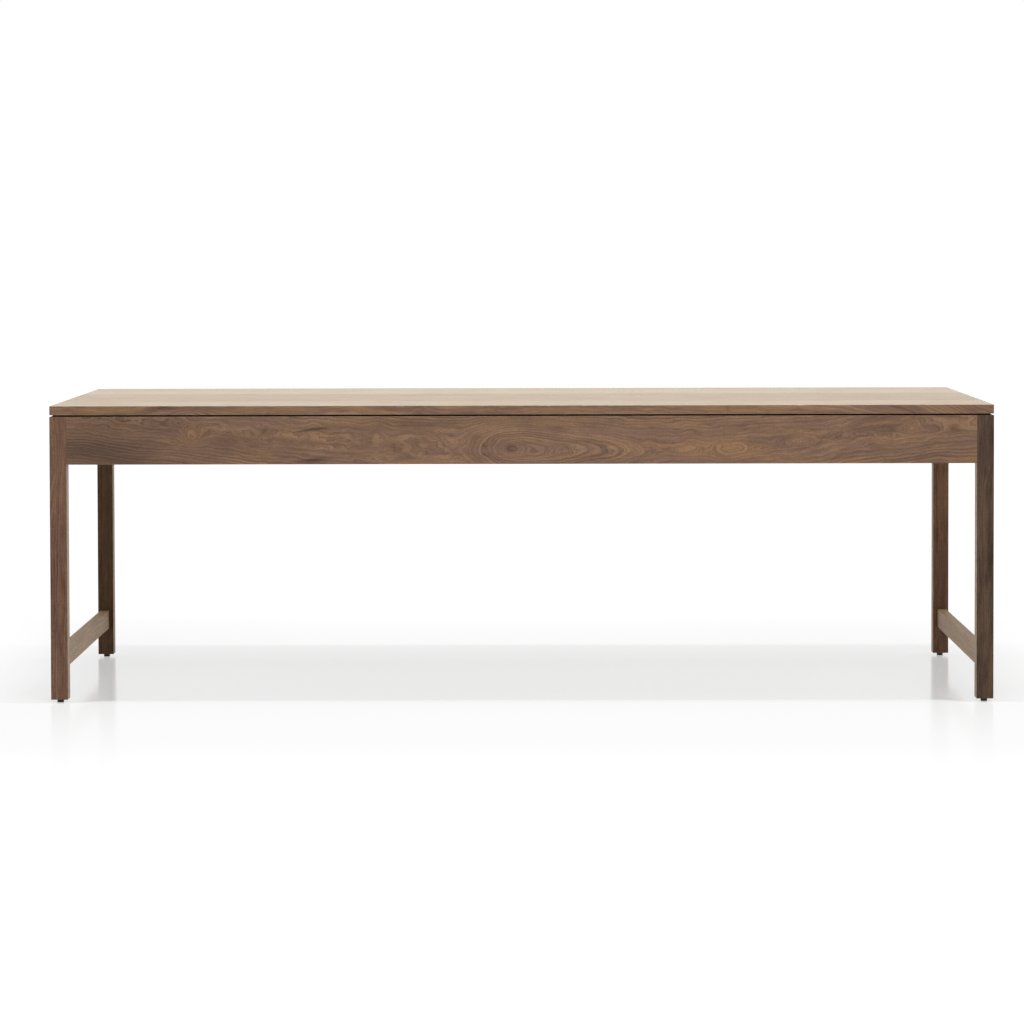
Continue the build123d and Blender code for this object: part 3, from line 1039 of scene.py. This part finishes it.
@dataclass
class Tabletop:
    """The five boards of the top, front to rear, each from its own place in the log."""

    pith_below: float = 0.085
    spacing: float = 0.0065
    late_wood: Screen = (68, 45, 29)
    front_face: float = -0.500
    boards: tuple[Board, ...] = (
        Board((149, 115, 87), (114, 83, 62), (154, 116, 80), (136, 104, 88), 3.7, 0.030, 0.022, 0.17),
        Board((136, 102, 78), (100, 73, 55), (142, 104, 72), (122, 90, 76), 7.4, -0.115, 0.010, 0.14),
        Board((142, 106, 83), (106, 77, 60), (146, 106, 76), (132, 96, 82), 11.1, 0.020, -0.030, 0.14),
        Board((159, 124, 94), (124, 92, 69), (164, 126, 88), (146, 112, 94), 14.8, 0.045, 0.034, 0.20),
        Board((150, 118, 94), (116, 86, 67), (156, 120, 86), (138, 106, 90), 18.5, 0.120, -0.014, 0.19),
    )

    def front_marks(self, low: Vector, high: Vector) -> dict[str, tuple[Mark | Bend, ...]]:
        """The marks on the front board's edge: a dark knot with slanting lines, two specks and a shade.

        Args:
            low, high: The board's lowest and highest corners.

        Returns:
            The knots, stains and bends for the board's finish.
        """
        face = self.front_face
        knots = (
            Knot(
                along=-0.906, across=face, long=0.034, wide=0.018, rings=0.5, core=0.85, through=high.z,
                deep=0.012,
            ),
            Knot(
                along=-0.842, across=face, long=0.045, wide=0.030, rings=2.2, through=low.z, deep=0.016,
            ),
            Knot(along=-0.260, across=face, long=0.020, wide=0.010, rings=0.8, core=0.12),
            Knot(along=0.524, across=face, long=0.008, wide=0.006, rings=0.6, core=0.2),
        )
        stains = (Stain(along=1.08, across=face, long=0.20, wide=0.03, depth=0.12),)
        return {"knots": knots, "stains": stains, "bends": (Bend(along=1.30, long=0.28, through=-0.16),)}

    def build(self) -> None:
        """Dresses the boards."""
        for number, board in enumerate(self.boards, start=1):
            low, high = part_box(f"tabletop_board_{number}")
            marks = self.front_marks(low, high) if number == 1 else {}
            dress(f"tabletop_board_{number}", WoodFinish(
                name=f"walnut_board_{number}", grain=Grain.ALONG_TOP,
                tones=Tones(board.light, board.dark, board.warm, board.rose, self.late_wood),
                pith_across=(low.y + high.y) / 2 + board.swing, pith_through=high.z - self.pith_below,
                spacing=self.spacing, wander=0.05, waviness=0.016, jag=0.005, log_place=board.log_place,
                contrast=1.1, drift=0.9, bands=2.2, taper=board.taper, gloss=board.gloss, sheen=0.45,
                sheen_tint=(1.0, 0.74, 0.34), **marks,
            ).build())


@dataclass
class UnderTop:
    """The rails, blocks and buttons under the top, and their screws and inserts."""

    spacing: float = 0.004
    contrast: float = 0.4
    waviness: float = 0.004
    jag: float = 0.001

    def beech(self, name: str, grain: Grain, pith_across: float, pith_through: float) -> Material:
        """Makes beech sawn one way.

        Args:
            name: The material's name.
            grain: Which way the grain runs.
            pith_across, pith_through: Where the pith runs.

        Returns:
            The material.
        """
        return WoodFinish(
            name=name, grain=grain, tones=BEECH, pith_across=pith_across, pith_through=pith_through,
            spacing=self.spacing, contrast=self.contrast, waviness=self.waviness, jag=self.jag,
        ).build()

    def build(self) -> None:
        """Dresses the beech, the screws and the inserts."""
        block = self.beech("beech_block", Grain.ALONG_TOP, pith_across=0.03, pith_through=0.35)
        rail = self.beech("beech_rail", Grain.ACROSS_RAIL, pith_across=0.55, pith_through=-0.02)
        steel = MetalFinish("zinc_plate").build()
        brass = MetalFinish("brass", colour=(206, 172, 104), worn=(176, 140, 84), roughness=0.3).build()
        for place in ("left", "middle", "right"):
            dress(f"cross_rail_{place}", rail)
        for corner in CORNERS:
            dress(f"corner_block_{corner}", block)
        dress("top_buttons", block)
        for node in ("button_screws", "rail_screws", "corner_block_screws"):
            dress(node, steel)
        dress("leg_inserts", brass)


CREASE_DEGREES = 35.0


def add_piece(name: str, rings: np.ndarray, low_pole: float, high_pole: float) -> bpy.types.Object:
    """Makes a mesh from rings of points, closed by a pole at each end.

    Row i, column j of the grid is joined to its neighbours, the last column to the first, and the end rows to
    the poles. The faces point outwards where the rings run counter-clockwise seen from above and climb. An
    edge between two faces that turn by the crease angle or more is shaded sharp.

    Args:
        name: The piece's name.
        rings: Points, shaped rings by points in a ring by 3.
        low_pole: The height of the pole before the first ring.
        high_pole: The height of the pole after the last ring.

    Returns:
        The new object.
    """
    rows, columns, _ = rings.shape
    x, y, _ = rings[0].mean(axis=0)
    points = np.concatenate([rings.reshape(-1, 3), [(x, y, low_pole), (x, y, high_pole)]])
    column = np.arange(columns)
    after = (column + 1) % columns
    row = np.arange(rows - 1)[:, None] * columns
    quads = np.stack([row + column, row + after, row + columns + after, row + columns + column], axis=-1)
    low, high = rows * columns, rows * columns + 1
    last = (rows - 1) * columns
    under = np.stack([np.full(columns, low), after, column], axis=-1)
    over = np.stack([np.full(columns, high), last + column, last + after], axis=-1)
    mesh = bpy.data.meshes.new(name)
    mesh.from_pydata(points.tolist(), [], [*quads.reshape(-1, 4).tolist(), *under.tolist(), *over.tolist()])
    mesh.polygons.foreach_set("use_smooth", np.ones(len(mesh.polygons), bool))
    mesh.set_sharp_from_angle(angle=math.radians(CREASE_DEGREES))
    mesh.validate()
    piece = bpy.data.objects.new(name, mesh)
    bpy.context.scene.collection.objects.link(piece)
    return piece


@dataclass
class LevellingFoot:
    """A levelling foot: a moulded pad that swivels on a threaded stud with a hexagon. Sizes are in metres."""

    corner: str
    stud_radius: float = 0.004
    stud_sides: int = 72
    thread_pitch: float = 0.00125
    thread_depth: float = 0.00068
    thread_length: float = 0.027
    thread_run_in: float = 0.0012
    rings_per_pitch: int = 10
    crest_share: float = 0.12
    flank_share: float = 0.4
    point: float = 0.001
    across_flats: float = 0.013
    hex_low: float = 0.0055
    hex_high: float = 0.008
    hex_steps: tuple[float, ...] = (0, 0.06, 0.12, 0.2, 0.3, 0.7, 0.8, 0.88, 0.94, 1)
    hex_face_share: float = 0.985
    hex_bevel_slope: float = 1.7
    disc_radius: float = 0.0045
    disc_low: float = 0.002
    disc_high: float = 0.0035
    disc_edge: float = 0.0003
    neck_radius: float = 0.003
    pad_radius: float = 0.0085
    pad_height: float = 0.0055
    pad_edge: float = 0.001
    pad_sides: int = 64
    edge_points: int = 7
    hollow_middle: float = 0.0030
    hollow_radius: float = 0.0056
    hollow_depth: float = 0.0004
    groove_low: float = 0.0016
    groove_high: float = 0.0024
    groove_depth: float = 0.0002
    mouth_width: float = 0.0007
    mouth_depth: float = 0.0004
    play: float = 0.0001

    def centre(self) -> Pair:
        """The foot's axis, from its pad's CAD box."""
        low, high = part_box(f"foot_pad_{self.corner}")
        return (low.x + high.x) / 2, (low.y + high.y) / 2

    def place(self, radius: np.ndarray, height: np.ndarray, turn: np.ndarray) -> np.ndarray:
        """Points round the foot's axis: x and y are the centre plus radius times cosine and sine of the turn.

        Args:
            radius: Each point's distance from the axis, rings by points.
            height: Each point's height, rings by points.
            turn: Each column's angle.

        Returns:
            The points, rings by points by 3.
        """
        x, y = self.centre()
        return np.stack([x + radius * np.cos(turn), y + radius * np.sin(turn), height], axis=-1)

    def thread(self, turn: np.ndarray) -> tuple[np.ndarray, np.ndarray]:
        """The threaded shank.

        The phase is height over pitch less the share of a turn, so the ridge climbs one pitch in a turn. Its
        distance from a whole number is the distance from the crest. The radius falls from the crest to the
        root by the thread's depth as that distance grows, with a flat crest and root. The ridge rises from
        the root over its run-in, and a cone cuts the tip.

        Args:
            turn: Each column's angle.

        Returns:
            Radius and height, rings by points.
        """
        rises = np.linspace(0, 1, int(self.thread_length / self.thread_pitch * self.rings_per_pitch) + 1)
        height = self.hex_high + rises[:, None] * self.thread_length + 0 * turn
        phase = (height - self.hex_high) / self.thread_pitch - turn / (2 * np.pi)
        from_crest = 0.5 - np.abs(phase % 1 - 0.5)
        flank = np.clip(from_crest / self.flank_share - self.crest_share, 0, 1)
        root = self.stud_radius - self.thread_depth
        run_in = np.minimum(rises[:, None] * self.thread_length / self.thread_run_in, 1)
        radius = root + self.thread_depth * (1 - flank) * run_in
        tip = self.stud_radius - self.point + (self.hex_high + self.thread_length - height)
        return np.minimum(radius, tip), height

    def hexagon(self, turn: np.ndarray) -> tuple[np.ndarray, np.ndarray]:
        """The hexagon that a spanner turns.

        A flat's radius is half the size across flats over the cosine of the angle from its middle, and a cone
        at each face cuts the corners.

        Args:
            turn: Each column's angle.

        Returns:
            Radius and height, rings by points.
        """
        flat = self.across_flats / 2
        to_middle = (turn + np.pi / 6) % (np.pi / 3) - np.pi / 6
        six = flat / np.cos(to_middle)
        height = self.hex_low + np.array(self.hex_steps)[:, None] * (self.hex_high - self.hex_low) + 0 * turn
        near = np.minimum(height - self.hex_low, self.hex_high - height)
        return np.minimum(six, flat * self.hex_face_share + near * self.hex_bevel_slope), height

    def stud(self) -> bpy.types.Object:
        """The stud: swivel disc, neck, hexagon and thread as one closed surface.

        Returns:
            The stud.
        """
        turn = np.linspace(0, 2 * np.pi, self.stud_sides, endpoint=False)
        edge = self.disc_edge
        profile = np.array([
            (self.disc_radius - edge, self.disc_low), (self.disc_radius, self.disc_low + edge),
            (self.disc_radius, self.disc_high - edge), (self.disc_radius - edge, self.disc_high),
            (self.neck_radius, self.disc_high), (self.neck_radius, self.hex_low),
        ])
        foot = (profile[:, :1] + 0 * turn, profile[:, 1:] + 0 * turn)
        radii, heights = zip(foot, self.hexagon(turn), self.thread(turn))
        rings = self.place(np.concatenate(radii), np.concatenate(heights), turn)
        high = self.hex_high + self.thread_length
        return add_piece(f"levelling_stud_{self.corner}", rings, self.disc_low, high)

    def pad(self) -> bpy.types.Object:
        """The pad: a turned profile with a hollow sole, rounded edges, a groove, and the socket for the disc.

        The profile runs from the middle of the sole outwards, up the side, inwards over the top and down into
        the socket. Each rounded edge is a quarter circle.

        Returns:
            The pad.
        """
        turn = np.linspace(0, 2 * np.pi, self.pad_sides, endpoint=False)
        radius, high, rim_edge, foot_edge = self.pad_radius, self.pad_height, self.pad_edge, self.pad_edge / 2
        quarter = np.linspace(0, np.pi / 2, self.edge_points)
        deep, hollow, groove = self.hollow_depth, self.hollow_radius, self.groove_depth
        sole = [(self.hollow_middle, deep), (hollow - deep, deep), (hollow, 0.0)]
        foot = [(radius - foot_edge * (1 - np.sin(a)), foot_edge * (1 - np.cos(a))) for a in quarter]
        side = [
            (radius, self.groove_low), (radius - groove, self.groove_low + groove),
            (radius - groove, self.groove_high - groove), (radius, self.groove_high),
        ]
        rim = [(radius - rim_edge * (1 - np.cos(a)), high - rim_edge * (1 - np.sin(a))) for a in quarter]
        neck, disc = self.neck_radius + self.play, self.disc_radius + self.play
        ceiling = self.disc_high + self.play
        top = [(neck + self.mouth_width, high), (neck, high - self.mouth_depth), (neck, ceiling)]
        socket = [(disc, ceiling), (disc, self.disc_low)]
        profile = np.array([*sole, *foot, *side, *rim, *top, *socket])
        rings = self.place(profile[:, :1] + 0 * turn, profile[:, 1:] + 0 * turn, turn)
        return add_piece(f"levelling_pad_{self.corner}", rings, deep, self.disc_low)

    def build(self, steel: Material, nylon: Material) -> None:
        """Makes the stud and the pad in place of the CAD's.

        Args:
            steel: The stud's material.
            nylon: The pad's material.
        """
        for kind, piece, finish, slot in (
            ("stud", self.stud(), steel, "screw_steel"), ("pad", self.pad(), nylon, "foot_plastic"),
        ):
            piece.data.materials.append(finish)
            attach(piece, f"{kind}_{self.corner}")
            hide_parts(f"foot_{kind}_{self.corner}")
            log.info("%s built", piece.name)


@dataclass
class Feet:
    """The four levelling feet."""

    def build(self) -> None:
        """Makes the feet."""
        steel = MetalFinish("zinc_plate_stud").build()
        nylon = NylonFinish("dark_nylon").build()
        for corner in CORNERS:
            LevellingFoot(corner).build(steel, nylon)


@dataclass(frozen=True)
class Lamp:
    """A rectangular soft lamp: its place, what it points at, its sides in metres and its power in watts."""

    name: str
    place: Place
    target: Place
    size: Pair
    power: float

    def build(self) -> None:
        """Makes the lamp."""
        data = bpy.data.lights.new(self.name, "AREA")
        data.shape = "RECTANGLE"
        data.size, data.size_y = self.size
        data.energy = self.power
        lamp = bpy.data.objects.new(self.name, data)
        bpy.context.scene.collection.objects.link(lamp)
        place = Vector(self.place)
        lamp.location = place
        lamp.rotation_euler = (Vector(self.target) - place).to_track_quat("-Z", "Y").to_euler()


@dataclass(frozen=True)
class FloorFinish:
    """The pale floor.

    Cameras and reflections see a share of it as plain glow, so that it is white away from the table and keeps
    the shadow and the legs' reflections near it. That share grows behind the table and beside it. In front of
    the legs it grows at once, so that the shadow ends there, and then slowly, so that the reflections fade.
    Places are in metres from the middle of the floor.
    """

    base: Colour = (0.8, 0.8, 0.8)
    roughness: float = 0.10
    smear_waves: float = 2.2
    smear_roughness: float = 0.08
    share: float = 0.40
    far_share: float = 0.9
    glow: float = 1.03
    far_glow: float = 0.06
    behind: Pair = (0.55, 2.4)
    beside: Pair = (1.2, 1.6)
    far_beside: Pair = (1.6, 4.0)
    front_line: float = -0.495
    front_line_rise: float = 0.05
    front_line_ends: Pair = (1.05, 1.18)
    front_blur: float = 0.035
    front_width: Pair = (1.3, 2.4)
    front_glow: float = 0.965
    front_far_glow: float = 1.06
    glow_depths: Pair = (-1.0, -2.2)
    front_share: float = 0.78
    front_far_share: float = 0.97
    share_depths: Pair = (-0.50, -1.40)

    def in_front(self, g: Graph, across: Value, depth: Value) -> Socket:
        """Where the floor lies in front of the legs.

        Args:
            g: The material's graph.
            across: The distance from the table's middle, along the table.
            depth: The place from front to rear.

        Returns:
            1 in front of the legs, 0 behind their line and far beside them.
        """
        line = self.front_line
        edge = g.ramp(across, *self.front_line_ends, line + self.front_line_rise, line)
        before = g.ramp(g.less(edge, depth), 0.0, self.front_blur)
        return g.times(before, g.ramp(across, *self.front_width, 1.0, 0.0))

    def build(self) -> Material:
        """Makes the material.

        Returns:
            The material.
        """
        material, g, shader = new_material("pale_floor")
        smear = g.noise(g.place(), self.smear_waves, detail=3.0).outputs["Fac"]
        rough = g.times_plus(smear, self.smear_roughness, self.roughness)
        g.fill(shader, Base_Color=self.base, Roughness=rough, Specular_IOR_Level=1.0)
        parts = g.apart(g.place())
        depth, across = parts["Y"], g.math("ABSOLUTE", parts["X"])
        near, far = (g.ramp(across, *reach, 0.0, 0.5) for reach in (self.beside, self.far_beside))
        away = g.math("MAXIMUM", g.ramp(depth, *self.behind), g.math("ADD", near, far))
        before = self.in_front(g, across, depth)
        bright = g.times_plus(away, self.far_glow, self.glow)
        # Just in front of the legs the glow stays a little under white, a painted faint shade, and it
        # brightens further out.
        ahead = g.ramp(depth, *self.glow_depths, self.front_glow, self.front_far_glow)
        level = g.times_plus(before, g.less(ahead, bright), bright)
        glow = g.fill(g.add("Emission"), Color=(1.0, 1.0, 1.0), Strength=level)
        path = g.add("LightPath").outputs
        seen = g.math("MAXIMUM", path["Is Camera Ray"], path["Is Glossy Ray"])
        seen = g.math("MAXIMUM", seen, path["Is Transmission Ray"])
        share = g.times_plus(away, self.far_share - self.share, self.share)
        plain = g.ramp(depth, *self.share_depths, self.front_share, self.front_far_share)
        share = g.times_plus(before, g.less(plain, share), share)
        mixed = g.outputs_of("MixShader", (g.times(seen, share), shader.outputs[0], glow.outputs[0]))[0]
        g.fill(material.node_tree.nodes["Material Output"], Surface=mixed)
        return material


@dataclass
class Studio:
    """The floor, the surroundings and the lamps."""

    floor_reach: float = 30.0
    ambient: float = 0.55
    dim_side: float = 0.35
    dim_directions: Pair = (-0.7, 0.3)
    bright_ends: float = 0.45
    end_directions: Pair = (0.45, 0.85)
    lamps: tuple[Lamp, ...] = (
        Lamp("overhead_strip", (0.0, -0.5, 4.0), (0.0, -0.5, 0.0), (2.6, 0.20), 72.0),
        Lamp("front_panel", (0.6, -4.5, 3.6), (0.0, -0.5, 0.5), (4.0, 2.0), 140.0),
        Lamp("ceiling_panel", (0.0, 0.2, 3.8), (0.0, 0.2, 0.0), (3.2, 2.0), 34.0),
    )

    def floor(self) -> None:
        """A large pale floor that keeps the table's shadow and a faint reflection of its legs."""
        mesh = bpy.data.meshes.new("floor")
        corners = np.array([(-1, -1, 0), (1, -1, 0), (1, 1, 0), (-1, 1, 0)], float) * self.floor_reach
        mesh.from_pydata(corners.tolist(), [], [(0, 1, 2, 3)])
        floor = bpy.data.objects.new("floor", mesh)
        bpy.context.scene.collection.objects.link(floor)
        mesh.materials.append(FloorFinish().build())

    def surroundings(self) -> None:
        """The world: white to the eye, its light dimmer from the camera's side and brighter from the ends."""
        world = bpy.data.worlds.new("white_studio")
        world.use_nodes = True
        bpy.context.scene.world = world
        g = Graph(world.node_tree)
        direction = g.apart(g.add("TexCoord").outputs["Generated"])
        side = g.ramp(direction["Y"], *self.dim_directions, self.dim_side, 1.0)
        end = g.ramp(g.math("ABSOLUTE", direction["X"]), *self.end_directions)
        diffuse = g.times_plus(end, self.bright_ends, self.ambient)
        path = g.add("LightPath").outputs
        mirrored = g.math("MAXIMUM", path["Is Glossy Ray"], path["Is Transmission Ray"])
        level = g.times(g.times_plus(mirrored, g.less(1.0, diffuse), diffuse), side)
        level = g.math("MAXIMUM", level, path["Is Camera Ray"])
        g.fill(world.node_tree.nodes["Background"], Color=(1.0, 1.0, 1.0), Strength=level)

    def build(self) -> None:
        """Makes the floor, the world and the lamps."""
        self.floor()
        self.surroundings()
        for lamp in self.lamps:
            lamp.build()
        bpy.context.scene.view_settings.view_transform = "Standard"


@dataclass
class Camera:
    """The photograph's viewpoint, fitted to the table's edges in it, in metres, degrees and millimetres."""

    place: Place = (0.0323, -9.2467, 1.1897)
    yaw: float = -0.3632
    pitch: float = 2.0509
    roll: float = -0.131
    lens: float = 121.24
    sensor: float = 36.0
    shift_down: float = 0.15
    sight: float = 200.0

    def turn(self) -> Matrix:
        """The camera's turn: it looks along +Y, turned by yaw towards +X, tipped down by pitch and rolled.

        Returns:
            The turn.
        """
        yaw, pitch, roll = (math.radians(angle) for angle in (self.yaw, self.pitch, self.roll))
        level = Vector((math.sin(yaw), math.cos(yaw), 0.0))
        side = Vector((math.cos(yaw), -math.sin(yaw), 0.0))
        forward = level * math.cos(pitch) - Vector((0, 0, 1)) * math.sin(pitch)
        rise = Vector((0, 0, 1)) * math.cos(pitch) + level * math.sin(pitch)
        right = side * math.cos(roll) + rise * math.sin(roll)
        upward = rise * math.cos(roll) - side * math.sin(roll)
        return Matrix((right, upward, -forward)).transposed().to_4x4()

    def build(self) -> None:
        """Makes the scene's camera."""
        data = bpy.data.cameras.new("camera")
        data.lens = self.lens
        data.sensor_width = self.sensor
        data.shift_y = -self.shift_down
        data.clip_end = self.sight
        camera = bpy.data.objects.new("camera", data)
        bpy.context.scene.collection.objects.link(camera)
        camera.matrix_world = Matrix.Translation(Vector(self.place)) @ self.turn()
        bpy.context.scene.camera = camera


def main() -> None:
    """Builds the table's looks in order."""
    logging.basicConfig(level=logging.INFO)
    Camera().build()
    make_groups()
    for part in (Tabletop(), Aprons(), Legs(), UnderTop(), Feet(), Studio()):
        part.build()
        log.info("%s built", type(part).__name__)


if __name__ == "__main__":
    main()
